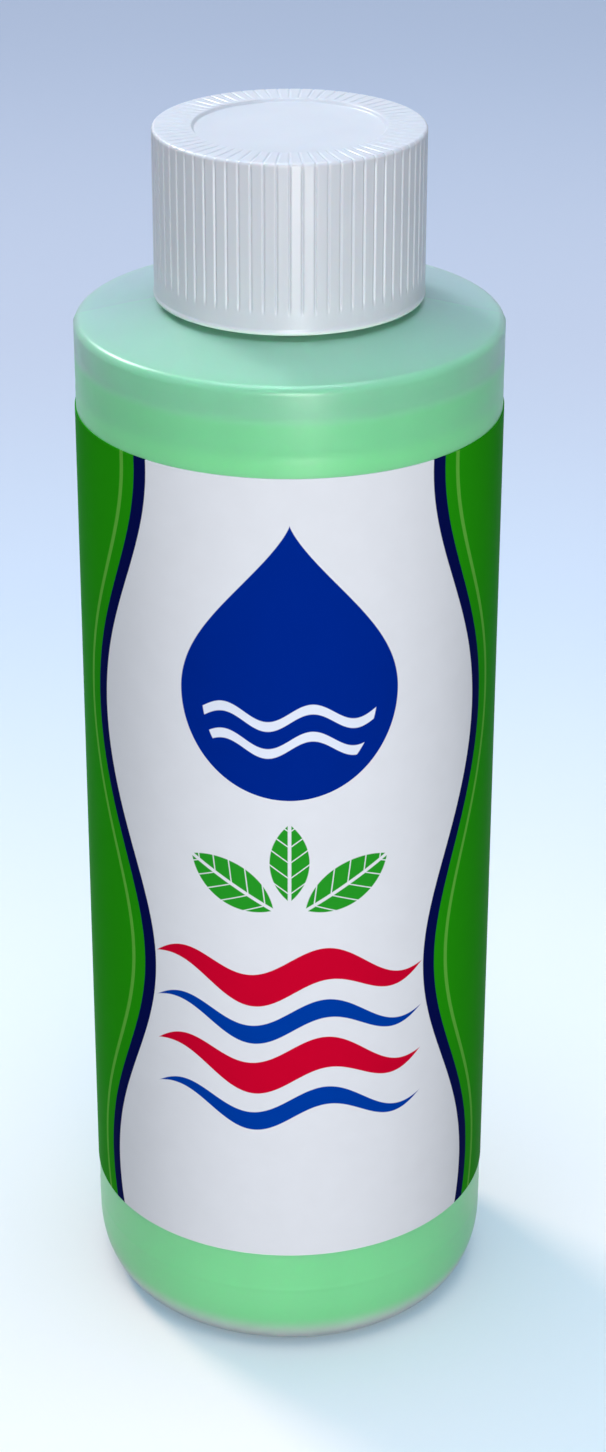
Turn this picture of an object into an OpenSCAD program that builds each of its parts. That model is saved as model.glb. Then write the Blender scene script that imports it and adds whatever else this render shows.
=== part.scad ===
// Cylindrical blow-moulded mouthwash bottle with a ribbed screw cap.
// The frame stands on the floor: +Z is up, the origin is the centre of the base,
// and the front of the label faces -Y.

/* [Bottle body] */
// Outer diameter of the straight body
body_d = 40.5; // [36:0.5:48]
// Height of the corner where the straight wall meets the sloped shoulder
body_h = 105; // [80:1:130]
// Wall thickness of the body and the shoulder
wall = 0.8; // [0.6:0.05:1.3]
// Thickness of the moulded base
base_t = 1.2; // [0.9:0.1:2]
// Width of the rounded heel, measured along the floor
heel_w = 3.1; // [2:0.1:5]
// Height of the rounded heel
heel_h = 6; // [3:0.5:9]
// Width of the flat ring that the bottle stands on
foot_w = 1.6; // [1:0.1:3]
// Rise of the domed push-up in the middle of the base
pushup_h = 2; // [1:0.1:3]

/* [Shoulder and neck] */
// Rise of the sloped shoulder, from the body's corner to the neck
shoulder_h = 2.2; // [1:0.1:6]
// Radius of the rounded edge between body and shoulder
edge_r = 0.9; // [0.4:0.1:2]
// Radius of the hollow fillet between shoulder and neck
root_r = 0.6; // [0.3:0.1:1]
// Outer diameter of the neck, under its thread
neck_d = 19.6; // [17:0.1:20]
// Wall thickness of the neck
neck_wall = 1.6; // [1.1:0.1:2.2]
// Height of the neck above the shoulder
neck_h = 13.2; // [11:0.1:18]
// Chamfer on both edges of the sealing rim
rim_chamfer = 0.3; // [0.1:0.05:0.4]

/* [Contents] */
// Distance from the body's upper corner down to the surface of the mouthwash
headspace = 3; // [2.5:0.5:20]

/* [Label] */
// Height of the label's lower edge above the floor
label_foot = 12.2; // [9.5:0.1:20]
// Distance from the label's upper edge to the body's upper corner
label_drop = 8.5; // [3:0.1:20]
// Thickness of the label film
label_t = 0.1; // [0.05:0.01:0.2]
// Width of the bare strip at the back, between the label's two ends
label_seam = 1.5; // [0.5:0.1:10]

/* [Seal and liner] */
// Thickness of the foil seal on the rim
seal_t = 0.15; // [0.1:0.05:0.4]
// How far the foil seal stands out past the neck wall
seal_lap = 0.3; // [0.1:0.05:0.5]
// Thickness of the foam liner in the cap
liner_t = 1; // [0.6:0.1:2]

/* [Cap] */
// Gap between the neck wall and the skirt, where the thread lies
thread_gap = 1.25; // [1.1:0.05:1.6]
// Thickness of the skirt, out to the face of the ribs
skirt_t = 1.6; // [1.2:0.05:2.4]
// Gap between the skirt's lower edge and the shoulder below it
skirt_gap = 0.3; // [0.2:0.1:2]
// Thickness of the top panel
panel_t = 1.5; // [1.2:0.1:2.5]
// Depth of the sunken disc in the top panel
disc_depth = 0.35; // [0.1:0.05:0.6]
// Width of the ring between the cap's edge and the sunken disc
ring_w = 3.7; // [2:0.1:6]
// Width of the slope down to the sunken disc
disc_slope_w = 0.45; // [0.1:0.05:1]
// Number of ribs round the cap, and of ribs on the top ring
rib_count = 68; // [40:1:80]
// Width of the groove between two ribs, at the surface
groove_w = 0.36; // [0.2:0.02:0.6]
// Depth of the groove between two side ribs
groove_depth = 0.25; // [0.1:0.05:0.4]
// Depth of the groove between two ribs of the top ring
top_groove_depth = 0.2; // [0.1:0.05:0.3]
// Height of the plain band under the ribs
band_h = 1.75; // [1:0.05:4]
// Radius of the cap's upper edge
cap_edge_r = 0.35; // [0.1:0.05:0.6]
// Radius of the skirt's lower outer lip
lip_r = 0.3; // [0.1:0.05:0.5]
// Chamfer that leads the neck into the skirt
lead_in = 0.4; // [0.2:0.05:0.6]

/* [Hidden] */
$fn = 96;

// Segments of a quarter round, and of the long arc of the push-up
round_steps = 8;
dome_steps = 6;

// Gap between two parts that seat on each other
seat_gap = 0.02;
// Film of glue under the label
glue_t = 0.02;
// Gap that keeps the mouthwash clear of the wall
wet_gap = 0.04;
// Gap between the liner's edge and the skirt
liner_gap = 0.25;
// Overrun of every cut
cut = 0.1;

body_r = body_d / 2;
neck_r = neck_d / 2;
bore_r = neck_r - neck_wall;
inner_r = body_r - wall;
heel_r = body_r - heel_w;
foot_r = heel_r - foot_w;
slope = atan(shoulder_h / (body_r - neck_r));
fill_z = body_h - headspace;

neck_z = body_h + shoulder_h;
rim_z = neck_z + neck_h;
seal_z = rim_z + seat_gap;
liner_z = seal_z + seal_t + seat_gap;
panel_z = liner_z + liner_t + seat_gap;
cap_top_z = panel_z + panel_t;

cap_bore_r = neck_r + thread_gap;
cap_r = cap_bore_r + skirt_t;
disc_r = cap_r - ring_w;

// Points along an arc of an ellipse, from angle a0 to angle a1
function arc(cx, cz, rx, rz, a0, a1, steps) =
    [for (i = [0:steps])
        let (a = a0 + (a1 - a0) * i / steps)
        [cx + rx * cos(a), cz + rz * sin(a)]];

// Height, at radius x, of the line that runs off beside the shoulder's slope
function slope_z(x, off) = body_h + (off + (body_r - x) * sin(slope)) / cos(slope);

// The cap reaches down to just above the shoulder
cap_z = slope_z(cap_bore_r, 0) + skirt_gap;
cap_h = cap_top_z - cap_z;

// Height of the centre of the rounded edge, and of the fillet at the neck
edge_z = slope_z(body_r - edge_r, -edge_r);
root_z = slope_z(neck_r + root_r, root_r);

// The push-up is part of a sphere that stands on the foot ring
dome_r = (pow(foot_r, 2) + pow(pushup_h, 2)) / (2 * pushup_h);
dome_a = acos(foot_r / dome_r);
function dome(lift) = arc(0, pushup_h - dome_r + lift, dome_r, dome_r, 90, dome_a, dome_steps);

function reversed(list) = [for (i = [len(list) - 1:-1:0]) list[i]];

// Outside of the bottle, from the middle of the base to the rim
function outer_line() = concat(
    dome(0),
    arc(heel_r, heel_h, heel_w, heel_h, -90, 0, round_steps),
    arc(body_r - edge_r, edge_z, edge_r, edge_r, 0, 90 - slope, round_steps),
    arc(neck_r + root_r, root_z, root_r, root_r, 270 - slope, 180, round_steps),
    [[neck_r, rim_z - rim_chamfer], [neck_r - rim_chamfer, rim_z]]);

// Inside of the bottle, from the middle of the base to the rim
function inner_line() = concat(
    wet_line(0),
    [[inner_r, slope_z(inner_r, -wall)],
        [bore_r, slope_z(bore_r, -wall)],
        [bore_r, rim_z - rim_chamfer],
        [bore_r + rim_chamfer, rim_z]]);

// The wetted part of the inside, drawn in by a gap
function wet_line(gap) = concat(
    dome(base_t + gap),
    arc(heel_r, heel_h, heel_w - wall - gap, heel_h - base_t - gap, -90, 0, round_steps));

module bottle() {
    color("#a9dcc2")
        rotate_extrude()
            polygon(concat(outer_line(), reversed(inner_line())));
}

module mouthwash() {
    color("#5fce86")
        rotate_extrude()
            polygon(concat(wet_line(wet_gap), [[inner_r - wet_gap, fill_z], [0, fill_z]]));
}

module label() {
    label_in = body_r + glue_t;
    seam_a = 360 * label_seam / (2 * PI * body_r);
    color("#e4e8f2")
        rotate(90 + seam_a / 2)
            translate([0, 0, label_foot])
                rotate_extrude(angle = 360 - seam_a)
                    translate([label_in, 0])
                        square([label_t, body_h - label_drop - label_foot]);
}

module foil_seal() {
    color("#c9ccd1")
        translate([0, 0, seal_z])
            cylinder(h = seal_t, r = neck_r + seal_lap);
}

module cap_liner() {
    color("#eef0f2")
        translate([0, 0, liner_z])
            cylinder(h = liner_t, r = cap_bore_r - liner_gap);
}

// The cap before its ribs are cut: a turned cup with a sunken disc in its top
module cap_blank() {
    rotate_extrude()
        polygon(concat(
            [[0, panel_z],
                [cap_bore_r, panel_z],
                [cap_bore_r, cap_z + lead_in],
                [cap_bore_r + lead_in, cap_z]],
            arc(cap_r - lip_r, cap_z + lip_r, lip_r, lip_r, -90, 0, round_steps),
            arc(cap_r - cap_edge_r, cap_top_z - cap_edge_r, cap_edge_r, cap_edge_r, 0, 90, round_steps),
            [[disc_r, cap_top_z],
                [disc_r - disc_slope_w, cap_top_z - disc_depth],
                [0, cap_top_z - disc_depth]]));
}

// One groove's section: its mouth lies past the surface and its point inside
module groove_section(depth) {
    reach = groove_w / 2 * (depth + cut) / depth;
    polygon([[-depth, 0], [cut, -reach], [cut, reach]]);
}

// Upright grooves that leave the side ribs between them
module side_grooves() {
    for (i = [0:rib_count - 1])
        rotate(360 * i / rib_count)
            translate([cap_r, 0, cap_z + band_h])
                linear_extrude(cap_h - band_h - cap_edge_r)
                    groove_section(groove_depth);
}

// Radial grooves that leave the ribs of the top ring between them
module top_grooves() {
    for (i = [0:rib_count - 1])
        rotate(360 * i / rib_count)
            translate([disc_r, 0, cap_top_z])
                rotate([0, -90, 180])
                    linear_extrude(ring_w + cut)
                        groove_section(top_groove_depth);
}

module cap() {
    color("#f0f3fa")
        difference() {
            cap_blank();
            side_grooves();
            top_grooves();
        }
}

bottle();
mouthwash();
label();
foil_seal();
cap_liner();
cap();
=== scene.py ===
# %% [markdown]
# # Dressing a mouthwash bottle
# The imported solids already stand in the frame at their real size: a blow-moulded bottle, its
# mouthwash, a wrap-round label, a foil seal, a foam liner and a ribbed screw cap. This script
# gives each of them the surface that a hand and an eye would meet. It never moves a solid. Where
# a solid's mesh is too coarse for its finish, a finer piece takes its place and rides on the
# same body.

# %% Load the frame
import math

import bmesh
import bpy
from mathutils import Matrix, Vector


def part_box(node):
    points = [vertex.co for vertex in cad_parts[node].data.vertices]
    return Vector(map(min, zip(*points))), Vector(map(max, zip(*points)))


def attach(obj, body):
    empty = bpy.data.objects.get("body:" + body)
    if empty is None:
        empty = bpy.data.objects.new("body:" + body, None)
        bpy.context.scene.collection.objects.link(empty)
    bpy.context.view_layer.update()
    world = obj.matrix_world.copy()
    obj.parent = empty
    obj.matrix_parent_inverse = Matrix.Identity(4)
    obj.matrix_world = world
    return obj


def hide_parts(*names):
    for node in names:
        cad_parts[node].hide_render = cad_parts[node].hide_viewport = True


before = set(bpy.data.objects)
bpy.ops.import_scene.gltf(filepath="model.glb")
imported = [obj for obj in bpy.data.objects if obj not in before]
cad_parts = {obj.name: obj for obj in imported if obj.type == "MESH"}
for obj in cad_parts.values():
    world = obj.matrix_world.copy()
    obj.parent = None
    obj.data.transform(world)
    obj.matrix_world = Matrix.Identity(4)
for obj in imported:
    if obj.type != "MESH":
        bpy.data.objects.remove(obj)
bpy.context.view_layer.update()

# %% [markdown]
# Blender works in metres and a bottle is drawn in millimetres, so the outlines below are written
# in millimetres and turned into metres in one place only. The sizes that other pieces depend on
# are read from the frame's own boxes.

# %% Sizes read from the frame
MM = 0.001


def span(node):
    """A solid's lowest and highest corner, in millimetres."""
    low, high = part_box(node)
    return low / MM, high / MM


bottle_high = span("bottle")[1]
label_low, label_high = span("label")
cap_low, cap_high = span("cap")

body_r = bottle_high.x
rim_z = bottle_high.z
fill_z = span("mouthwash")[1].z
label_r = label_high.x
label_z0 = label_low.z
label_z1 = label_high.z
cap_r = cap_high.x
cap_z = cap_low.z
cap_top_z = cap_high.z
print("body %.2f, label %.2f, cap %.2f mm in radius" % (body_r, label_r, cap_r))

# %% [markdown]
# The rest of the bottle's outline can't be read from a box. These are the sizes that a drawing
# of the bottle would carry, in millimetres.

# %% Sizes of the bottle's outline
wall = 0.8
base_t = 1.2
heel_w = 3.1
heel_h = 6.0
foot_w = 1.6
pushup_h = 2.0
shoulder_h = 2.2
edge_r = 0.9
root_r = 0.6
neck_r = 9.8
neck_wall = 1.6
neck_h = 13.2
rim_chamfer = 0.3
wet_gap = 0.04

bore_r = neck_r - neck_wall
inner_r = body_r - wall
heel_r = body_r - heel_w
foot_r = heel_r - foot_w
corner_z = rim_z - neck_h - shoulder_h
slope = math.atan(shoulder_h / (body_r - neck_r))
print("shoulder's corner at %.1f mm, slope %.1f degrees" % (corner_z, math.degrees(slope)))

# %% [markdown]
# A turned shape is an outline in the half plane of radius and height, swept round the axis.
# The Screw modifier could sweep it, but here some columns have to lie closer together than
# others, because a moulding line only 0.4 mm wide has to fit between them. So one helper places
# the vertices itself. An outline starts and ends on the axis, where all the columns share a
# single vertex, and that keeps the poles closed.

# %% Helpers for turned shapes
def arc(cx, cz, rx, rz, start, end, steps):
    """Points on an arc of an ellipse, angles in degrees."""
    turns = [math.radians(start + (end - start) * i / steps) for i in range(steps + 1)]
    return [(cx + rx * math.cos(a), cz + rz * math.sin(a)) for a in turns]


def eased(t):
    """A smooth step from 0 to 1."""
    t = min(max(t, 0), 1)
    return t * t * (3 - 2 * t)


def spot(r, angle, z):
    """A point in metres, from a radius, an angle and a height in millimetres."""
    return r * math.cos(angle) * MM, r * math.sin(angle) * MM, z * MM


def join(made, low, high, i, j):
    """A face between places i and j of two rows; a row may also be a single vertex."""
    corners = (low[i % len(low)], low[j % len(low)], high[j % len(high)], high[i % len(high)])
    made.faces.new(dict.fromkeys(corners))


def shown(made, name):
    """Turns a bmesh into a smooth-shaded object whose sharp edges stay sharp."""
    bmesh.ops.recalc_face_normals(made, faces=made.faces)
    mesh = bpy.data.meshes.new(name)
    made.to_mesh(mesh)
    made.free()
    mesh.shade_smooth()
    mesh.set_sharp_from_angle(angle=math.radians(35))
    piece = bpy.data.objects.new(name, mesh)
    bpy.context.scene.collection.objects.link(piece)
    print("%s: %d faces" % (name, len(mesh.polygons)))
    return piece


def turned(name, outline, columns, place=None):
    """A closed shape turned from an outline, whose points place(r, z, angle) may shift."""
    made = bmesh.new()
    rings = []
    for r, z in outline:
        ring = []
        for angle in columns if r > 0 else [0]:
            shifted_r, shifted_z = place(r, z, angle) if place else (r, z)
            ring.append(made.verts.new(spot(shifted_r, angle, shifted_z)))
        rings.append(ring)
    count = len(columns)
    for low, high in zip(rings, rings[1:]):
        for i in range(count):
            join(made, low, high, i, (i + 1) % count)
    return shown(made, name)


# %% [markdown]
# The bottle's outside is one run from the middle of the base to the rim: a domed push-up, the
# flat ring that it stands on, a rounded heel, the straight wall, a small edge, a gently sloped
# shoulder, a fillet and the neck. The inside runs back at one wall's distance, and thicker in
# the base, where blow-moulded bottles keep more plastic.

# %% The bottle's outline
dome_r = (foot_r ** 2 + pushup_h ** 2) / (2 * pushup_h)
dome_end = math.degrees(math.acos(foot_r / dome_r))


def slope_z(x, off):
    """Height at radius x of the line that runs off beside the shoulder's slope."""
    return corner_z + (off + (body_r - x) * math.sin(slope)) / math.cos(slope)


def dome(lift):
    """The push-up, from the axis out to the ring that the bottle stands on."""
    points = arc(0, pushup_h - dome_r + lift, dome_r, dome_r, 90, dome_end, 18)
    return [(0, points[0][1])] + points[1:]


def wet_line(gap):
    """The wetted inside, drawn in by a gap, from the axis to the top of the heel."""
    heel = arc(heel_r, heel_h, heel_w - wall - gap, heel_h - base_t - gap, -90, 0, 14)
    return dome(base_t + gap) + heel


def rise(r, low, high, steps):
    """Rows up a straight wall, without its two ends."""
    return [(r, low + (high - low) * i / steps) for i in range(1, steps)]


def around(z):
    """Rows close to a fine ring on the straight wall."""
    return [(body_r, z + ring_line_w * d) for d in (-2, -1.3, -0.8, -0.4, 0, 0.4, 0.8, 1.3, 2)]


parting_z = 7.8
waist_z = label_z1 + 2.0
ring_line_w = 0.3
edge_z = slope_z(body_r - edge_r, -edge_r)
root_z = slope_z(neck_r + root_r, root_r)
slope_deg = math.degrees(slope)
outside = dome(0)
outside += arc(heel_r, heel_h, heel_w, heel_h, -90, 0, 20)
wall_rows = rise(body_r, heel_h, edge_z, 60) + around(parting_z) + around(waist_z)
outside += sorted(wall_rows, key=lambda point: point[1])
outside += arc(body_r - edge_r, edge_z, edge_r, edge_r, 0, 90 - slope_deg, 12)
outside += arc(neck_r + root_r, root_z, root_r, root_r, 270 - slope_deg, 180, 8)
outside += rise(neck_r, root_z, rim_z - rim_chamfer, 8)
outside += [(neck_r, rim_z - rim_chamfer), (neck_r - rim_chamfer, rim_z)]
inside = [(bore_r + rim_chamfer, rim_z), (bore_r, rim_z - rim_chamfer)]
inside += [(bore_r, slope_z(bore_r, -wall)), (inner_r, slope_z(inner_r, -wall))]
inside += wet_line(0)[::-1]
print("outline: %d points outside, %d inside" % (len(outside), len(inside)))

# %% [markdown]
# Two mould halves leave a fine line where they meet, here in the plane through the bottle's
# sides, and a third part of the mould leaves a ring above the heel. In the base the pinched-off
# end of the blown tube leaves a short thicker rib, and a shallow waist runs round above the
# label. All are real relief on the real bottle, so they are in the mesh and not in a bump map.
# The upright line stops under the label, where the mould is dressed flat, and below the rim,
# which has to be even all round for the seal to stick to it. On the shoulder it is nearly flat.

# %% Moulding line and pinched seam
line_h = 0.06
line_w = 0.2
shoulder_fade = 0.85
corner_blend = 0.25
foot_clear = 0.5
rim_clear = 0.5
pinch_h = 0.3
pinch_w = 0.35
pinch_len = 9.0
label_clear = 1.2
ring_line_h = 0.035
waist_depth = 0.03


def moulding_line(r, z, angle):
    """How far the surface stands out at the lines that the mould leaves, or sinks at the waist."""
    off = abs(r * math.sin(angle))
    if z < pushup_h and r < foot_r:
        return pinch_h * math.exp(-((off / pinch_w) ** 2)) * eased(pinch_len - r)
    below = eased((label_z0 - z) / label_clear)
    above = eased((z - label_z1) / label_clear) * eased(rim_z - rim_clear - z)
    on_shoulder = eased((z - corner_z) / corner_blend + 0.5) * eased(r - neck_r)
    above *= 1 - shoulder_fade * on_shoulder
    upright = line_h * math.exp(-((off / line_w) ** 2)) * max(below, above) * eased(z - foot_clear)
    ring = ring_line_h * math.exp(-(((z - parting_z) / ring_line_w) ** 2))
    waist = waist_depth * math.exp(-(((z - waist_z) / (2 * ring_line_w)) ** 2))
    return upright + ring - waist


def square_to(outline):
    """For each point of an outline the direction square to it, on the outer side."""
    found = {}
    for i, point in enumerate(outline):
        before = outline[max(i - 1, 0)]
        after = outline[min(i + 1, len(outline) - 1)]
        run = Vector((after[0] - before[0], after[1] - before[1])).normalized()
        found[point] = (run.y, -run.x)
    return found


skin = square_to(outside)


def moulded(r, z, angle):
    """Lifts a point of the outside by the moulding line, and leaves the inside alone."""
    if (r, z) not in skin or r == 0:
        return r, z
    lift = moulding_line(r, z, angle)
    return r + skin[(r, z)][0] * lift, z + skin[(r, z)][1] * lift


even_columns = [2 * math.pi * i / 240 for i in range(240)]
beside_line = (-1.0, -0.7, -0.4, -0.2, 0.2, 0.4, 0.7, 1.0)
fine_columns = [side + math.radians(a) for side in (0, math.pi) for a in beside_line]
bottle_columns = sorted(even_columns + [a % (2 * math.pi) for a in fine_columns])
bottle_shell = turned("bottle_shell", outside + inside, bottle_columns, moulded)

# %% [markdown]
# The mouthwash wets the wall and climbs it a little, which gives the surface a curved edge. It
# is a separate closed piece just inside the wall, because that is what the light meets after it
# has passed the plastic.

# %% The mouthwash
climb_h = 0.7
climb_w = 0.9
wet_r = inner_r - wet_gap


def surface_z(r):
    """Height of the liquid's surface, which climbs at the wall."""
    return fill_z - climb_h * (1 - math.exp(-(wet_r - r) / climb_w))


surface_rows = [wet_r - climb_w * 3 * (i / 8) ** 1.6 for i in range(9)]
surface_rows += [wet_r * 0.6, wet_r * 0.3]
liquid_line = wet_line(wet_gap) + rise(wet_r, heel_h, fill_z, 12)
liquid_line += [(r, surface_z(r)) for r in surface_rows] + [(0, surface_z(0))]
mouthwash_fill = turned("mouthwash_fill", liquid_line, even_columns)

# %% [markdown]
# The label is a printed film 0.1 mm thick that goes once round the body and leaves a narrow
# bare strip at the back. Its print follows the film and not the room, so the film gets a UV map
# of its own, from one end to the other and from the lower edge to the upper. Die-cut labels have
# round corners, and here the rows shorten towards the edges to make them.

# %% The label film
film_t = 0.1
label_seam = 1.5
corner_r = 2.0
label_h = label_z1 - label_z0
half_turn = math.pi - label_seam / body_r / 2
half_len = half_turn * label_r
FRONT = math.radians(270)


def corner_cut(height):
    """How much shorter the film is at this height, on each end, to round its corners."""
    near = min(height, label_h - height)
    if near >= corner_r:
        return 0
    return corner_r - math.sqrt(corner_r ** 2 - (corner_r - near) ** 2)


def label_film(name, columns=220, rows=44):
    """A closed film round the body, with a UV map that runs along it and up it."""
    near_edge = [corner_r * (1 - math.cos(math.pi / 2 * i / 7)) for i in range(7)]
    inner = [corner_r + (label_h - 2 * corner_r) * i / rows for i in range(rows + 1)]
    heights = near_edge + inner + [label_h - h for h in near_edge[::-1]]
    made = bmesh.new()
    uv = made.loops.layers.uv.new("film")
    across = {}
    sheets = []
    for r in (label_r, label_r - film_t):
        sheet = []
        for height in heights:
            reach = half_turn - corner_cut(height) / label_r
            row = []
            for i in range(columns + 1):
                turn = (2 * i / columns - 1) * reach
                point = made.verts.new(spot(r, FRONT + turn, label_z0 + height))
                across[point] = (0.5 + turn / half_turn / 2, height / label_h)
                row.append(point)
            sheet.append(row)
        sheets.append(sheet)
    outer, back = sheets
    pairs = list(zip(outer, outer[1:])) + list(zip(back, back[1:]))
    pairs += [(outer[0], back[0]), (outer[-1], back[-1])]
    for end in (0, -1):
        pairs.append(([row[end] for row in outer], [row[end] for row in back]))
    for low, high in pairs:
        for i in range(len(low) - 1):
            join(made, low, high, i, i + 1)
    for face in made.faces:
        for loop in face.loops:
            loop[uv].uv = across[loop.vert]
    return shown(made, name)


label_wrap = label_film("label_wrap")

# %% [markdown]
# The cap's 68 ribs all look alike, and so do the ribs of its top ring, which meet them at the
# edge. That is the best kind of shape for Geometry Nodes: one slice of the cap, a single rib
# wide, is drawn with care, and a tree copies it round the axis. The slice has its groove in the
# middle, and its columns stay at a fixed distance from the groove, so a groove keeps its width
# from the side of the cap to the ring's inner edge. The lands between the grooves are flat
# facets, as a mould leaves them, so a lamp can light up one whole rib and leave the next one
# dull. A fine bead runs round the lip: each of its rows is a height above the lip and a share
# of the bead's swell.

# %% One slice of the ribbed cap
rib_count = 68
groove_w = 0.36
groove_depth = 0.12
top_groove_depth = 0.09
facet_dip = 0.01
edge_share = 0.4
edge_fade = 0.8
ring_fade = 0.7
run_out_h = 1.1
band_h = 1.75
cap_edge_r = 0.35
lip_r = 0.08
bead_h = 0.07
bead_rows = ((0.58, 0), (0.5, 0), (0.4, 0.5), (0.31, 1), (0.2, 1), (0.1, 0.5), (0.03, 0))
lead_in = 0.4
inner_chamfer = 0.15
ring_w = 3.7
disc_slope_w = 0.25
disc_slope_out = 0.1
disc_depth = 0.3
thread_gap = 1.25
panel_t = 1.5
cap_bore_r = neck_r + thread_gap
panel_z = cap_top_z - panel_t
disc_r = cap_r - ring_w
groove_steps = (-1, -0.7, -0.45, -0.2, 0, 0.2, 0.45, 0.7, 1)
land_steps = (0.15, 0.5, 1)


def cap_section():
    """The cap's section, from the top's middle to the inside's: radius, height, groove depth."""
    low_z = cap_top_z - disc_depth
    rows = [(0, low_z, 0), (2, low_z, 0), (5, low_z, 0)]
    slope_end = disc_r + disc_slope_out
    slope_w = disc_slope_w + disc_slope_out
    for i in range(9):
        lift = (1 - math.cos(math.pi * i / 8)) / 2
        rows.append((slope_end - slope_w * (1 - i / 8), low_z + disc_depth * lift, 0))
    for i in range(1, 9):
        out = (cap_r - cap_edge_r - disc_r - disc_slope_out) * i / 8
        depth = top_groove_depth * eased(out / ring_fade) * (1 - 0.5 * eased((i - 6) / 2))
        rows.append((slope_end + out, cap_top_z, depth))
    side_top = cap_top_z - cap_edge_r
    edge = arc(cap_r - cap_edge_r, side_top, cap_edge_r, cap_edge_r, 90, 0, 6)
    rows += [(r, z, groove_depth * edge_share) for r, z in edge[1:]]
    for down in (0.15, 0.3, 0.5, edge_fade):
        share = edge_share + (1 - edge_share) * eased(down / edge_fade)
        rows.append((cap_r, side_top - down, groove_depth * share))
    band_z = cap_z + band_h
    rows += [(cap_r, z, groove_depth) for z in (side_top - 4, side_top - 8, band_z + run_out_h)]
    for i in range(1, 7):
        rows.append((cap_r, band_z + run_out_h * (1 - i / 6), groove_depth * (1 - eased(i / 6))))
    rows += [(cap_r + bead_h * share, cap_z + up, 0) for up, share in bead_rows]
    rows += [(cap_r - lip_r, cap_z, 0)]
    rows += [(cap_bore_r + lead_in, cap_z, 0), (cap_bore_r, cap_z + lead_in, 0)]
    rows += [(cap_bore_r, panel_z - inner_chamfer, 0), (cap_bore_r - inner_chamfer, panel_z, 0)]
    rows += [(0, panel_z, 0)]
    return rows


def groove_columns(r):
    """Distances across one slice at radius r, with the share of the groove's depth at each."""
    half_pitch = math.pi * r / rib_count
    groove = [(s * groove_w / 2, (1 + math.cos(math.pi * s)) / 2) for s in groove_steps]
    land = [(groove_w / 2 + (half_pitch - groove_w / 2) * t, t) for t in land_steps]
    facet = [(x, facet_dip * (1 - (1 - t) ** 2) / groove_depth) for x, t in land]
    return [(-x, share) for x, share in facet[::-1]] + groove + facet


def cap_slice(name):
    """One rib's slice of the cap, as an open mesh that its copies close."""
    section = cap_section()
    made = bmesh.new()
    strips = []
    for i, (r, z, depth) in enumerate(section):
        if r == 0:
            strips.append([made.verts.new((0, 0, z * MM))])
            continue
        before = section[i - 1]
        after = section[i + 1]
        run = Vector((after[0] - before[0], after[1] - before[1])).normalized()
        from_r = max(r, disc_r)
        strip = []
        for x, share in groove_columns(from_r):
            sunk = depth * share
            strip.append(made.verts.new(spot(r + run.y * sunk, x / from_r, z - run.x * sunk)))
        strips.append(strip)
    for low, high in zip(strips, strips[1:]):
        for i in range(max(len(low), len(high)) - 1):
            join(made, high, low, i, i + 1)
    mesh = bpy.data.meshes.new(name)
    made.to_mesh(mesh)
    made.free()
    mesh.shade_smooth()
    piece = bpy.data.objects.new(name, mesh)
    print("%s: %d faces" % (name, len(mesh.polygons)))
    return piece


rib_slice = cap_slice("rib_slice")

# %% [markdown]
# Each Geometry Nodes tree here is made the same way: its sizes are named inputs on the group,
# the nodes are wired in the order that the geometry flows, and it ends with Realize Instances
# and Set Material; the cap's tree also welds where its copies meet. The result is then taken
# off the evaluated object as a plain mesh, so nothing about the piece depends on the tree
# afterwards.

# %% Helpers for Geometry Nodes
def group_with(name, inputs):
    """An empty Geometry Nodes group with named inputs, and its input and output node."""
    group = bpy.data.node_groups.new(name, "GeometryNodeTree")
    group.interface.new_socket("Geometry", in_out="OUTPUT", socket_type="NodeSocketGeometry")
    for title, kind in inputs.items():
        group.interface.new_socket(title, in_out="INPUT", socket_type="NodeSocket" + kind)
    return group, group.nodes.new("NodeGroupInput"), group.nodes.new("NodeGroupOutput")


def add(group, kind, values=None, **settings):
    """Adds a node; values fills its sockets from plain values or from other nodes' sockets."""
    node = group.nodes.new(kind)
    for key, value in settings.items():
        setattr(node, key, value)
    for title, value in (values or {}).items():
        socket = node.inputs[title]
        if isinstance(value, bpy.types.NodeSocket):
            group.links.new(value, socket)
        else:
            socket.default_value = value
    return node


def grown(name, group, sizes):
    """Runs a tree on an empty object and keeps its result as a plain mesh."""
    piece = bpy.data.objects.new(name, bpy.data.meshes.new(name))
    bpy.context.scene.collection.objects.link(piece)
    modifier = piece.modifiers.new("tree", "NODES")
    modifier.node_group = group
    for item in group.interface.items_tree:
        if item.in_out == "INPUT":
            modifier[item.identifier] = sizes[item.name]
    graph = bpy.context.evaluated_depsgraph_get()
    mesh = bpy.data.meshes.new_from_object(piece.evaluated_get(graph))
    piece.modifiers.clear()
    piece.data = mesh
    mesh.name = name
    print("%s: %d faces" % (name, len(mesh.polygons)))
    return piece


# %% [markdown]
# The cap's tree puts one point on the axis for each rib, turns the slice by its share of a full
# turn on each point, and welds the copies where they meet.

# %% The ribbed cap
cap_plastic = bpy.data.materials.new("cap_plastic")
ring_tree, given, result = group_with("ring_of_slices", {
    "Slice": "Object", "Ribs": "Int", "Weld": "Float", "Finish": "Material",
})
slice_in = add(ring_tree, "GeometryNodeObjectInfo", {"Object": given.outputs["Slice"]})
axis_points = add(ring_tree, "GeometryNodePoints", {"Count": given.outputs["Ribs"]})
number = add(ring_tree, "GeometryNodeInputIndex")
step = add(ring_tree, "ShaderNodeMath", {
    0: 2 * math.pi,
    1: given.outputs["Ribs"],
}, operation="DIVIDE")
turn = add(ring_tree, "ShaderNodeMath", {
    0: number.outputs[0],
    1: step.outputs[0],
}, operation="MULTIPLY")
about_z = add(ring_tree, "ShaderNodeCombineXYZ", {"Z": turn.outputs[0]})
copies = add(ring_tree, "GeometryNodeInstanceOnPoints", {
    "Points": axis_points.outputs[0],
    "Instance": slice_in.outputs["Geometry"],
    "Rotation": about_z.outputs[0],
})
real = add(ring_tree, "GeometryNodeRealizeInstances", {"Geometry": copies.outputs[0]})
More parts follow.
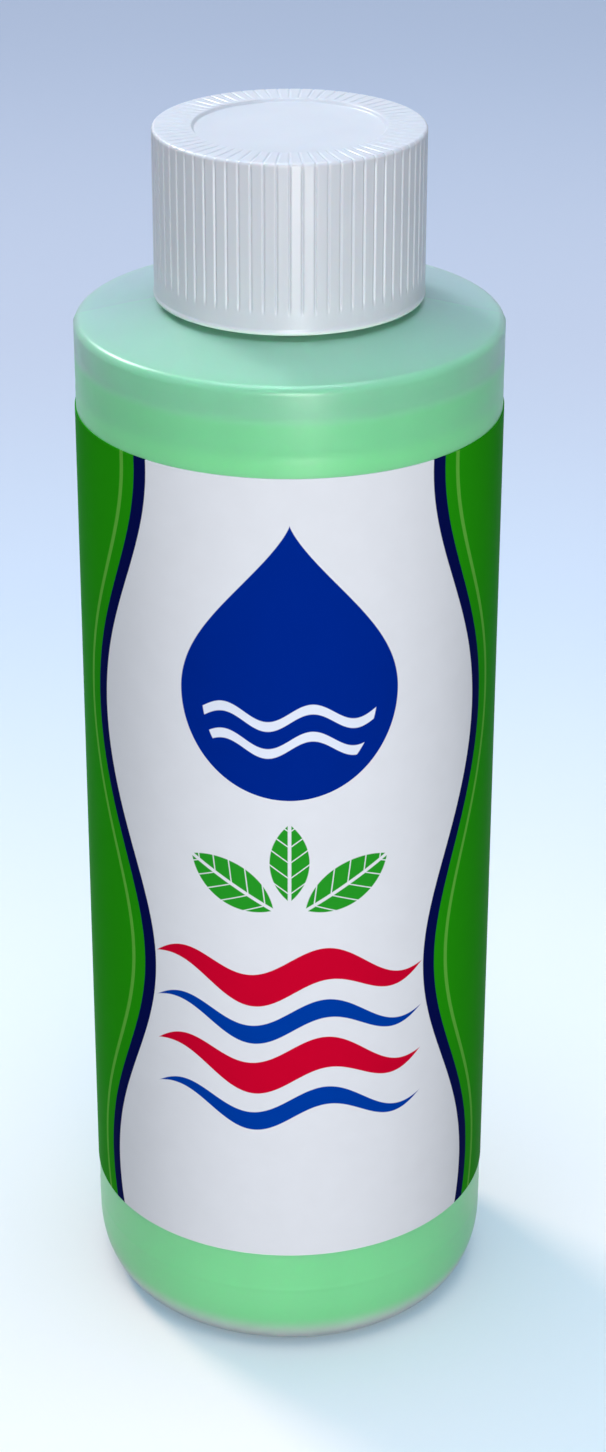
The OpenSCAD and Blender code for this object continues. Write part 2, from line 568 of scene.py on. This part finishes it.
welded = add(ring_tree, "GeometryNodeMergeByDistance", {
    "Geometry": real.outputs[0],
    "Distance": given.outputs["Weld"],
})
finished = add(ring_tree, "GeometryNodeSetMaterial", {
    "Geometry": welded.outputs[0],
    "Material": given.outputs["Finish"],
})
ring_tree.links.new(finished.outputs[0], result.inputs[0])
cap_shell = grown("cap_shell", ring_tree, {
    "Slice": rib_slice,
    "Ribs": rib_count,
    "Weld": 0.001 * MM,
    "Finish": cap_plastic,
})
cap_shell.data.set_sharp_from_angle(angle=math.radians(50))
bpy.data.objects.remove(rib_slice)

# %% [markdown]
# Neck and cap are held together by a thread with a pitch of an eighth of an inch. It follows a
# path, so a second tree makes it: a spiral for the path, a trapezium for its section, and a
# radius along the spiral that runs out to nothing at both ends, as the lead of a moulded thread
# does. The same tree makes the ridge outside the neck and the smaller one inside the cap, which
# lies half a pitch lower, so the two never meet while the cap turns. The cap's ridge is also
# low enough to pass the seal, which stands out a little past the neck.

# %% The two threads
pitch = 3.175
turns = 1.5
bottle_plastic = bpy.data.materials.new("bottle_wall")
thread_tree, given, result = group_with("thread_ridge", {
    "Radius": "Float", "Turns": "Float", "Pitch": "Float", "Start height": "Float", "Reach": "Float",
    "Root width": "Float", "Crest width": "Float", "Facing": "Float", "Finish": "Material",
})
rise_by = add(thread_tree, "ShaderNodeMath", {
    0: given.outputs["Turns"],
    1: given.outputs["Pitch"],
}, operation="MULTIPLY")
spiral = add(thread_tree, "GeometryNodeCurveSpiral", {
    "Resolution": 64,
    "Rotations": given.outputs["Turns"],
    "Start Radius": given.outputs["Radius"],
    "End Radius": given.outputs["Radius"],
    "Height": rise_by.outputs[0],
    "Reverse": True,
})
upright = add(thread_tree, "GeometryNodeSetCurveNormal", {"Curve": spiral.outputs[0]}, mode="Z_UP")
along = add(thread_tree, "GeometryNodeSplineParameter")
from_ends = add(thread_tree, "ShaderNodeMath", {
    0: along.outputs["Factor"],
    1: 0.5,
}, operation="PINGPONG")
run_out = add(thread_tree, "ShaderNodeMapRange", {
    "Value": from_ends.outputs[0],
    "From Max": 0.07,
    "To Min": 0.05,
}, interpolation_type="SMOOTHSTEP")
section = add(thread_tree, "GeometryNodeCurvePrimitiveQuadrilateral", {
    "Height": given.outputs["Reach"],
    "Bottom Width": given.outputs["Root width"],
    "Top Width": given.outputs["Crest width"],
    "Offset": 0,
}, mode="TRAPEZOID")
half_reach = add(thread_tree, "ShaderNodeMath", {
    0: given.outputs["Reach"],
    1: 0.5,
}, operation="MULTIPLY")
from_root = add(thread_tree, "ShaderNodeCombineXYZ", {"Y": half_reach.outputs[0]})
rooted = add(thread_tree, "GeometryNodeTransform", {
    "Geometry": section.outputs[0],
    "Translation": from_root.outputs[0],
})
about_z = add(thread_tree, "ShaderNodeCombineXYZ", {"Z": given.outputs["Facing"]})
faced = add(thread_tree, "GeometryNodeTransform", {
    "Geometry": rooted.outputs[0],
    "Rotation": about_z.outputs[0],
})
swept = add(thread_tree, "GeometryNodeCurveToMesh", {
    "Curve": upright.outputs[0],
    "Profile Curve": faced.outputs[0],
    "Scale": run_out.outputs[0],
    "Fill Caps": True,
})
lift = add(thread_tree, "ShaderNodeCombineXYZ", {"Z": given.outputs["Start height"]})
raised = add(thread_tree, "GeometryNodeTransform", {
    "Geometry": swept.outputs[0],
    "Translation": lift.outputs[0],
})
ridge = add(thread_tree, "GeometryNodeRealizeInstances", {"Geometry": raised.outputs[0]})
coated = add(thread_tree, "GeometryNodeSetMaterial", {
    "Geometry": ridge.outputs[0],
    "Material": given.outputs["Finish"],
})
thread_tree.links.new(coated.outputs[0], result.inputs[0])

FACING_OUT = -math.pi / 2
FACING_IN = math.pi / 2


def thread_ridge(name, radius, start_z, reach, root_w, crest_w, facing, material):
    """One ridge of the thread, in millimetres."""
    return grown(name, thread_tree, {
        "Radius": radius * MM,
        "Turns": turns,
        "Pitch": pitch * MM,
        "Start height": start_z * MM,
        "Reach": reach * MM,
        "Root width": root_w * MM,
        "Crest width": crest_w * MM,
        "Facing": facing,
        "Finish": material,
    })


sunk = 0.1
thread_z = rim_z - 6.6
neck_thread = thread_ridge(
    "neck_thread", neck_r - sunk, thread_z,
    reach=1.0 + sunk, root_w=2.0, crest_w=0.9, facing=FACING_OUT, material=bottle_plastic,
)
cap_thread = thread_ridge(
    "cap_thread", cap_bore_r + sunk, thread_z - pitch / 2,
    reach=0.85 + sunk, root_w=1.1, crest_w=0.5, facing=FACING_IN, material=cap_plastic,
)
for ridge_piece in (neck_thread, cap_thread):
    ridge_piece.data.shade_smooth()
    ridge_piece.data.set_sharp_from_angle(angle=math.radians(30))

# %% [markdown]
# Every piece rides on the body that carries it, so it follows the joints: the cap and its
# thread turn and rise, and the rest of the bottle stays.

# %% Pieces ride on their bodies
for piece, body, slot in (
    (bottle_shell, "bottle", "bottle_wall"),
    (mouthwash_fill, "bottle", "liquid"),
    (label_wrap, "bottle", "label_film"),
    (neck_thread, "bottle", "bottle_wall"),
    (cap_shell, "cap", "cap_plastic"),
    (cap_thread, "cap", "cap_plastic"),
):
    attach(piece, body)
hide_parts("bottle")
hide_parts("mouthwash")
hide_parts("label")
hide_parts("cap")

# %% [markdown]
# A pattern such as the label's print is arithmetic on coordinates. In Blender every sum is a
# node, and a print with a few shapes needs a hundred of them. A small class lets the sums be
# written as sums: adding two wires adds a Math node and gives back the wire that leaves it.

# %% Writing shader sums as sums
class Wire:
    """A number on its way from one shader node to the next."""

    def __init__(self, socket):
        self.socket = socket

    def through(self, operation, *others):
        node = self.socket.id_data.nodes.new("ShaderNodeMath")
        node.operation = operation
        for socket, value in zip(node.inputs, (self, *others)):
            feed(socket, value)
        return Wire(node.outputs[0])

    def __add__(self, other):
        return self.through("ADD", other)

    def __sub__(self, other):
        return self.through("SUBTRACT", other)

    def __mul__(self, other):
        return self.through("MULTIPLY", other)

    def __truediv__(self, other):
        return self.through("DIVIDE", other)

    def __abs__(self):
        return self.through("ABSOLUTE")

    def power(self, other):
        return self.through("POWER", other)

    def least(self, other):
        return self.through("MINIMUM", other)

    def most(self, other):
        return self.through("MAXIMUM", other)

    def sine(self):
        return self.through("SINE")

    def inverse(self):
        """One minus the value, for a mask's other side."""
        return (self * -1) + 1

    def within(self, low, high):
        """A soft step: 0 at low, 1 at high, and smooth between them."""
        ends = {"Value": self, "From Min": low, "From Max": high}
        return node_in(self.socket.id_data, "MapRange", 0, ends, interpolation_type="SMOOTHSTEP")


def feed(socket, value):
    """Links a wire to a socket, or sets the socket to a number or a colour."""
    if isinstance(value, Wire):
        socket.id_data.links.new(value.socket, socket)
    else:
        socket.default_value = value


def node_in(tree, kind, output=0, inputs=None, **settings):
    """A shader node with its sockets fed; gives back the wire that leaves the named output."""
    node = tree.nodes.new("ShaderNode" + kind)
    for key, value in settings.items():
        setattr(node, key, value)
    for title, value in (inputs or {}).items():
        feed(node.inputs[title], value)
    return Wire(node.outputs[output])


def blend(tree, share, under, over, blend_type="MIX"):
    """A colour that goes from under to over with share."""
    node = tree.nodes.new("ShaderNodeMix")
    node.data_type = "RGBA"
    node.blend_type = blend_type
    colours = [s for s in node.inputs if s.type == "RGBA"]
    feed(node.inputs[0], share)
    feed(colours[0], under)
    feed(colours[1], over)
    return Wire([s for s in node.outputs if s.type == "RGBA"][0])


def principled(material, values):
    """Sets a material's shader; a value that is the same all over goes straight to its socket."""
    material.use_nodes = True
    shader = material.node_tree.nodes["Principled BSDF"]
    for title, value in values.items():
        feed(shader.inputs[title], value)
    return material.node_tree, shader


def object_space(tree):
    """Where a point lies on its object, in metres, and its height in millimetres."""
    place = node_in(tree, "TexCoord", "Object")
    return place, node_in(tree, "SeparateXYZ", "Z", {"Vector": place}) / MM


def noise(tree, place, scale, detail=2.0):
    """Noise whose features are about one over scale wide, in the units of place."""
    return node_in(tree, "TexNoise", "Fac", {"Vector": place, "Scale": scale, "Detail": detail})


def relief(tree, shader, height, depth):
    """Bumps the shader's normal; depth in metres is the relief at a height of 1."""
    bump = node_in(tree, "Bump", "Normal", {"Height": height, "Distance": depth})
    feed(shader.inputs["Normal"], bump)


def rgb(red, green, blue):
    """A colour from values of 0 to 255 as a paint chart gives them."""
    shares = [level / 255 for level in (red, green, blue)]
    linear = [((s + 0.055) / 1.055) ** 2.4 if s > 0.04 else s / 12.92 for s in shares]
    return (*linear, 1)


# %% [markdown]
# Natural polyethylene is milky: light goes in, scatters and comes out again nearby, and some
# goes through to the mouthwash and comes back green. So the wall is partly transmissive and
# partly scattering, with a satin skin. Its colour follows the height, because the liquid's
# colour shows wherever liquid touches the wall, and stops softly at the surface of the liquid.
# Above the liquid and at the foot more of the light passes through. At the foot the colour is a
# painted reflection: a pale grey for the pale floor seen in the heel's curve. Where the wall
# above the liquid is seen at a slant, its colour turns a pale blue-grey, a painted sheen that
# hides the green.
#
# The roughness wanders a little from spot to spot, but never below 0.28. The denoiser takes
# anything smoother than about 0.27 for a mirror, and where a surface crosses that value it
# leaves white specks.

# %% Finish of the bottle
tree, shader = principled(bottle_plastic, {
    "IOR": 1.52,
    "Subsurface Weight": 0.35,
    "Subsurface Scale": 0.0012,
    "Specular IOR Level": 0.36,
})
shader.inputs["Subsurface Radius"].default_value = (0.6, 1.0, 0.8)
place, height = object_space(tree)
drawn_up = node_in(tree, "Mapping", 0, {"Vector": place, "Scale": (1, 1, 0.12)})
clouds = noise(tree, drawn_up, 160)
# The pale grey at the foot is a painted reflection of the pale floor in the heel's curve.
tint_and_painted_reflections = blend(tree, height.within(1.0, 4.2), rgb(236, 242, 240), rgb(148, 248, 174))
tint_and_painted_reflections = blend(tree, height.within(waist_z - 1.0, waist_z + 0.8), tint_and_painted_reflections, rgb(144, 238, 174))
# Seen at a slant, the wall above the liquid is painted a pale blue-grey: a painted sheen.
painted_sheen_share = node_in(tree, "LayerWeight", "Facing", {"Blend": 0.5}).within(0.3, 0.9)
headspace_tint_and_sheen = blend(tree, painted_sheen_share, rgb(166, 238, 198), rgb(194, 232, 218))
shoulder_tint_and_sheen = blend(tree, painted_sheen_share, rgb(184, 244, 212), rgb(186, 209, 223))
tint_and_painted_reflections = blend(tree, height.within(fill_z - 0.9, fill_z + 0.5), tint_and_painted_reflections, headspace_tint_and_sheen)
tint_and_painted_reflections = blend(tree, height.within(corner_z - 0.3, corner_z + 0.5), tint_and_painted_reflections, shoulder_tint_and_sheen)
tint_and_painted_reflections = blend(tree, height.within(corner_z + 1.8, corner_z + 6), tint_and_painted_reflections, rgb(222, 236, 230))
clouded_tint_and_reflections = node_in(tree, "HueSaturation", 0, {"Color": tint_and_painted_reflections, "Value": clouds * 0.08 + 0.96})
feed(shader.inputs["Base Color"], clouded_tint_and_reflections)
above_liquid = height.within(fill_z - 0.6, fill_z + 0.6)
at_foot = height.within(0.8, 3.6).inverse()
feed(shader.inputs["Transmission Weight"], above_liquid * 0.18 + at_foot * 0.2 + 0.3)
feed(shader.inputs["Roughness"], noise(tree, place, 900) * 0.05 + 0.29)
relief(tree, shader, noise(tree, place, 2600) * 0.1 + noise(tree, drawn_up, 240), 0.000006)

# %% [markdown]
# The mouthwash itself is clear, deeply coloured and wet.

# %% Finish of the mouthwash
mouthwash = bpy.data.materials.new("mouthwash")
mouthwash_fill.data.materials.append(mouthwash)
tree, shader = principled(mouthwash, {"Roughness": 0.08, "IOR": 1.34, "Transmission Weight": 0.15})
place, height = object_space(tree)
# The liquid's colour is darker towards the bottom and lighter towards its surface.
liquid_darker_below = blend(tree, height.within(0, fill_z), rgb(92, 220, 132), rgb(120, 250, 174))
feed(shader.inputs["Base Color"], liquid_darker_below)
relief(tree, shader, noise(tree, place, 120), 0.00003)
bottle_shell.data.materials.append(bottle_plastic)

# %% [markdown]
# The label's print is drawn in millimetres on the film: across is 0 at the front's middle, and
# up is 0 at the lower edge. White ground, green fields with a waved border and a navy edge, a
# blue drop, a sprig of three leaves and four waves: plain shapes of the trade, each a short sum.

# %% Masks for printed shapes
EDGE = 0.05
CREST_TO_CREST = 15


def filled(inside):
    """A printed shape with a sharp edge; inside is how many millimetres deep a point lies in it."""
    return inside.within(-EDGE, EDGE)


def stroke(off, half_w):
    """A printed line along the places where off, in millimetres, is 0."""
    return filled((abs(off) * -1) + half_w)


def either(first, second):
    """Where one of two masks is filled; their product is where both are."""
    return first.most(second)


def wave(across, up, middle, half_w, reach):
    """A level wave across the label whose ends run out to points."""
    along = across / reach
    swell = (along * along).inverse() * half_w
    crest = (across * (2 * math.pi / CREST_TO_CREST)).sine() * 1.5
    return filled(swell - abs(up - crest - middle))


def leaf(across, up, cx, cy, lean, length, width):
    """A pointed leaf with midrib and veins: the overlap of two discs, turned by lean degrees."""
    c = math.cos(math.radians(lean))
    s = math.sin(math.radians(lean))
    x = abs((across - cx) * c + (up - cy) * s)
    y = (up - cy) * c - (across - cx) * s
    disc = ((length / 2) ** 2 + (width / 2) ** 2) / width
    reach = ((x + (disc - width / 2)).power(2) + y.power(2)).power(0.5)
    to_vein = (y - x * 0.8 + 10 * length).through("PINGPONG", length / 10)
    bare = either(stroke(x, 0.17), stroke(to_vein, 0.07))
    return filled((reach * -1) + disc) * bare.inverse()


# %% Finish of the label
label_print = bpy.data.materials.new("label_print")
label_wrap.data.materials.append(label_print)
tree, shader = principled(label_print, {"Specular IOR Level": 0.001})
film = node_in(tree, "UVMap", 0, uv_map="film")
film_mm = node_in(tree, "Mapping", 0, {"Vector": film, "Scale": (2 * half_len, label_h, 1)})
across = node_in(tree, "SeparateXYZ", "X", {"Vector": film_mm}) - half_len
up = node_in(tree, "SeparateXYZ", "Y", {"Vector": film_mm})

wave_len = 52.0
wave_h = 3.4
panel_half = 17.6
navy_w = 1.5
pin_line_in = 3.2
pin_half = 0.25
back_from = 37
border = (up * (2 * math.pi / wave_len) + 0.9).sine() * wave_h + panel_half
outside_panel = abs(across) - border
navy_edge = filled(outside_panel)
green_field = filled(outside_panel - navy_w)
pin_line = stroke(outside_panel - pin_line_in, pin_half)
waved_up = up + (across * (2 * math.pi / CREST_TO_CREST)).sine() * 1.2
past_panel = abs(across) - back_from
hairlines = stroke(waved_up.through("PINGPONG", 2.4), 0.14) * filled(past_panel)
hairlines = either(hairlines, stroke(past_panel, pin_half))

drop_r = 10.6
drop_z = 62.5
tip_z = 80.0
over = ((up - drop_z) / (tip_z - drop_z)).most(0).least(1)
taper = (over * (math.pi / 2)).through("COSINE").power(1.35) * drop_r
under = (up - drop_z).least(0)
round_end = ((under * under) * -1 + drop_r ** 2).most(0).power(0.5)
drop = filled(taper.least(round_end) - abs(across) - EDGE)
level = up - (across * (2 * math.pi / 8.4)).sine() * 0.9
inner_drop = filled(round_end - abs(across) - 2.2)
ripples = either(stroke(level - 60.5, 0.5), stroke(level - 57.7, 0.5)) * inner_drop

red = either(wave(across, up, 32.5, 1.9, 14), wave(across, up, 22.5, 1.9, 14))
blue = either(wave(across, up, 27.5, 1.1, 14), wave(across, up, 17.5, 1.1, 14))
sprig = leaf(across, up, 0, 45.2, 0, 8.4, 3.8)
for side in (-1, 1):
    sprig = either(sprig, leaf(across, up, 5.6 * side, 42.6, -58 * side, 9.6, 4.4))

ink = blend(tree, navy_edge, rgb(226, 228, 234), rgb(6, 14, 74))
ink = blend(tree, green_field, ink, rgb(34, 148, 13))
ink = blend(tree, pin_line, ink, rgb(96, 176, 62))
ink = blend(tree, hairlines, ink, rgb(72, 158, 50))
ink = blend(tree, drop, ink, rgb(0, 38, 138))
ink = blend(tree, ripples, ink, rgb(226, 232, 246))
ink = blend(tree, red, ink, rgb(200, 4, 44))
ink = blend(tree, blue, ink, rgb(0, 58, 158))
ink = blend(tree, sprig, ink, rgb(38, 150, 38))
tone = noise(tree, film_mm, 0.35) * 0.05 + 0.975
feed(shader.inputs["Base Color"], node_in(tree, "HueSaturation", 0, {"Color": ink, "Value": tone}))
feed(shader.inputs["Roughness"], noise(tree, film_mm, 1.2) * 0.08 + 0.3)
relief(tree, shader, noise(tree, film_mm, 0.12) * 4 + noise(tree, film_mm, 3), 0.000004)
print("label print: %d nodes" % len(tree.nodes))

# %% [markdown]
# The cap is white polypropylene straight from the mould: a little light goes into it, its skin
# is smooth but not polished, and the flow of the plastic leaves a faint unevenness. The lip is
# the thinnest part, and a pale mint line is painted on it: a painted highlight for the light
# that comes through it.

# %% Finish of the cap
tree, shader = principled(cap_plastic, {
    "IOR": 1.49,
    "Specular IOR Level": 0.5,
    "Subsurface Weight": 0.12,
    "Subsurface Scale": 0.0008,
})
place, height = object_space(tree)
flow_marks = noise(tree, place, 240)
white_and_lip_highlight = blend(tree, flow_marks, rgb(203, 206, 213), rgb(209, 212, 218))
# A pale mint line painted on the lip: a painted highlight.
white_and_lip_highlight = blend(tree, height.within(cap_z + 0.1, cap_z + 0.45), rgb(228, 240, 234), white_and_lip_highlight)
feed(shader.inputs["Base Color"], white_and_lip_highlight)
feed(shader.inputs["Roughness"], noise(tree, place, 1100) * 0.03 + 0.28)
relief(tree, shader, noise(tree, place, 3200, 3) + flow_marks * 3, 0.000006)

# %% [markdown]
# The seal is aluminium foil that was welded to the rim: it is crinkled all over and carries the
# rim's print as a ring. The liner is a disc of fine white foam.

# %% Finish of the foil and the liner
foil = bpy.data.materials.new("foil")
tree, shader = principled(foil, {"Metallic": 1.0})
place = node_in(tree, "TexCoord", "Object")
flat = node_in(tree, "Mapping", 0, {"Vector": place, "Scale": (1 / MM, 1 / MM, 0)})
radius = node_in(tree, "VectorMath", "Value", {0: flat}, operation="LENGTH")
ring_print = stroke(radius - (neck_r - neck_wall / 2), neck_wall / 2)
dents = {"Vector": flat, "Scale": 0.8}
crinkle = node_in(tree, "TexVoronoi", "Distance", dents, feature="SMOOTH_F1")
silver = blend(tree, noise(tree, place, 300), rgb(206, 208, 212), rgb(228, 229, 232))
feed(shader.inputs["Base Color"], silver)
feed(shader.inputs["Roughness"], crinkle * 0.15 + 0.29)
relief(tree, shader, crinkle * 1.5 + noise(tree, place, 1500) + ring_print, 0.00005)

foam = bpy.data.materials.new("liner_foam")
tree, shader = principled(foam, {
    "Roughness": 0.75,
    "Subsurface Weight": 0.2,
    "Subsurface Scale": 0.001,
})
place = node_in(tree, "TexCoord", "Object")
cells = node_in(tree, "TexVoronoi", "Distance", {"Vector": place, "Scale": 4200.0})
feed(shader.inputs["Base Color"], blend(tree, cells, rgb(236, 237, 238), rgb(248, 248, 248)))
relief(tree, shader, cells, 0.00006)

for node, material in (("foil_seal", foil), ("cap_liner", foam)):
    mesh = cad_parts[node].data
    mesh.materials.clear()
    mesh.materials.append(material)

# %% [markdown]
# The stage is one wide floor. The picture's background comes from the floor's colour, which is
# painted white round the bottle and runs to a cool grey-blue far away, a painted pool of light;
# the lamps stay at a plain level. Where the camera sees the floor, or a reflection or clear
# plastic shows it, some of that colour is light of the floor's own, so the object's shadow is
# there but stays pale. Far
# out and well in front the floor turns into one even colour, which hides its edge and the pools
# of light under the lamps when the bottle is looked at from the side. Any other ray meets a
# plain grey, so the floor throws no colour of the picture's background on the bottle.

# %% Floor
floor_half = 3.0
HORIZON = rgb(214, 224, 242)
BACKDROP = rgb(178, 190, 215)


def picture_rays(tree):
    """Two masks: rays from the camera, and those with all mirrored and transmitted rays."""
    path = tree.nodes.new("ShaderNodeLightPath")
    to_camera = Wire(path.outputs["Is Camera Ray"])
    mirrored = Wire(path.outputs["Is Glossy Ray"])
    transmitted = Wire(path.outputs["Is Transmission Ray"])
    return to_camera, to_camera.most(mirrored).most(transmitted)


made = bmesh.new()
sides = (-floor_half, floor_half)
low, high = [[made.verts.new((x, y, 0)) for x in sides] for y in sides]
join(made, low, high, 0, 1)
floor = shown(made, "floor")
studio = bpy.data.materials.new("studio_floor")
studio.use_nodes = True
tree = studio.node_tree
tree.nodes.clear()
place = node_in(tree, "TexCoord", "Object")
away = node_in(tree, "VectorMath", "Value", {0: place}, operation="LENGTH")
# The floor's colour is painted white round the bottle, fading outwards: a painted pool of light.
painted_light_pool = blend(tree, away.within(0.03, 0.18), rgb(247, 252, 255), rgb(221, 233, 250))
painted_light_pool = blend(tree, away.within(0.12, 0.31), painted_light_pool, rgb(204, 210, 228))
painted_light_pool = blend(tree, away.within(0.27, 0.62), painted_light_pool, rgb(179, 188, 209))
warm_part = blend(tree, 1.0, painted_light_pool, (0.74, 0.49, 0.35, 1), blend_type="MULTIPLY")
cool_part = blend(tree, 1.0, painted_light_pool, (0.15, 0.465, 0.68, 1), blend_type="MULTIPLY")
# The floor's glow dims where the bottle stands close, which paints a contact shadow round its foot.
open_sky = node_in(tree, "AmbientOcclusion", "AO", {"Distance": 0.04})
lit = node_in(tree, "BsdfDiffuse", 0, {"Color": warm_part})
glow = node_in(tree, "Emission", 0, {"Color": cool_part, "Strength": open_sky * 0.7 + 0.3})
near_floor = node_in(tree, "AddShader", 0, {0: lit, 1: glow})
to_camera, rays = picture_rays(tree)
horizon = node_in(tree, "Emission", 0, {"Color": blend(tree, to_camera, HORIZON, BACKDROP)})
to_front = node_in(tree, "SeparateXYZ", "Y", {"Vector": place}) * -1
far = away.within(0.42, 0.95).most(to_front.within(0.12, 0.3))
seen = node_in(tree, "MixShader", 0, {0: far, 1: near_floor, 2: horizon})
plain = node_in(tree, "BsdfDiffuse", 0, {"Color": rgb(127, 131, 135)})
surface = node_in(tree, "MixShader", 0, {0: rays, 1: plain, 2: seen})
out = tree.nodes.new("ShaderNodeOutputMaterial")
feed(out.inputs["Surface"], surface)
floor.data.materials.append(studio)

# %% [markdown]
# The key lamp stands behind the bottle on the left and throws the soft shadow to the front
# right. A wide bluish lamp overhead lights the top of the cap and the shoulder. A broad lamp in
# front fills the label and leaves the sides darker, which makes the bottle look round, and a
# small one close by is mirrored in two ribs of the cap as bright lines. The sky adds a little
# light from behind.

# %% Lamps and sky
aim = Vector((0, 0, 0.06))


def lamp(name, azimuth, elevation, distance, size, watts, size_y=None, colour=(1, 1, 1)):
    """An area lamp that faces the bottle; azimuth runs from +X towards +Y, in degrees."""
    data = bpy.data.lights.new(name, "AREA")
    data.shape = "RECTANGLE"
    data.size = size
    data.size_y = size_y or size
    data.energy = watts
    data.color = colour
    made = bpy.data.objects.new(name, data)
    bpy.context.scene.collection.objects.link(made)
    a = math.radians(azimuth)
    e = math.radians(elevation)
    outward = Vector((math.cos(a) * math.cos(e), math.sin(a) * math.cos(e), math.sin(e)))
    made.location = aim + outward * distance
    made.rotation_euler = outward.to_track_quat("Z", "Y").to_euler()


lamp("key", 133, 42, 2.2, 0.45, 26.6)
lamp("overhead", 270, 86, 1.2, 0.8, 12.9, colour=(0.77, 0.87, 1.0))
lamp("front", 272, 7, 1.3, 0.4, 8.7)
lamp("streak", 279, 3.5, 0.2, 0.048, 0.095, size_y=0.012)

sky = bpy.data.worlds.new("sky")
bpy.context.scene.world = sky
sky.use_nodes = True
tree = sky.node_tree
tree.nodes.clear()
direction = node_in(tree, "TexCoord", "Generated")
from_behind = node_in(tree, "SeparateXYZ", "Y", {"Vector": direction}).most(0)
to_camera, rays = picture_rays(tree)
sky_light = node_in(tree, "Background", 0, {
    "Color": (0.88, 0.95, 1.0, 1),
    "Strength": from_behind * 0.3,
})
sky_seen = node_in(tree, "Background", 0, {"Color": blend(tree, to_camera, HORIZON, BACKDROP)})
sky_out = tree.nodes.new("ShaderNodeOutputWorld")
feed(sky_out.inputs["Surface"], node_in(tree, "MixShader", 0, {0: rays, 1: sky_light, 2: sky_seen}))

# %% [markdown]
# The camera looks down on the bottle from the front at 26 degrees. The picture's principal
# point lies a little left of its middle, which a small shift of the lens repeats.

# %% Camera
IMAGE_W = 606
IMAGE_H = 1452
FOCAL_PX = 3143.4
CENTRE_X_PX = 289.54
SENSOR_MM = 36
TILT_DOWN = 26.41
EYE = (0, -0.2811, 0.20145)
camera_data = bpy.data.cameras.new("camera")
camera_data.sensor_width = SENSOR_MM
camera_data.lens = FOCAL_PX / IMAGE_H * SENSOR_MM
camera_data.shift_x = (IMAGE_W / 2 - CENTRE_X_PX) / IMAGE_H
camera = bpy.data.objects.new("camera", camera_data)
bpy.context.scene.collection.objects.link(camera)
camera.location = EYE
camera.rotation_euler = (math.radians(90 - TILT_DOWN), 0, 0)
bpy.context.scene.camera = camera
bpy.context.scene.view_settings.view_transform = "Standard"
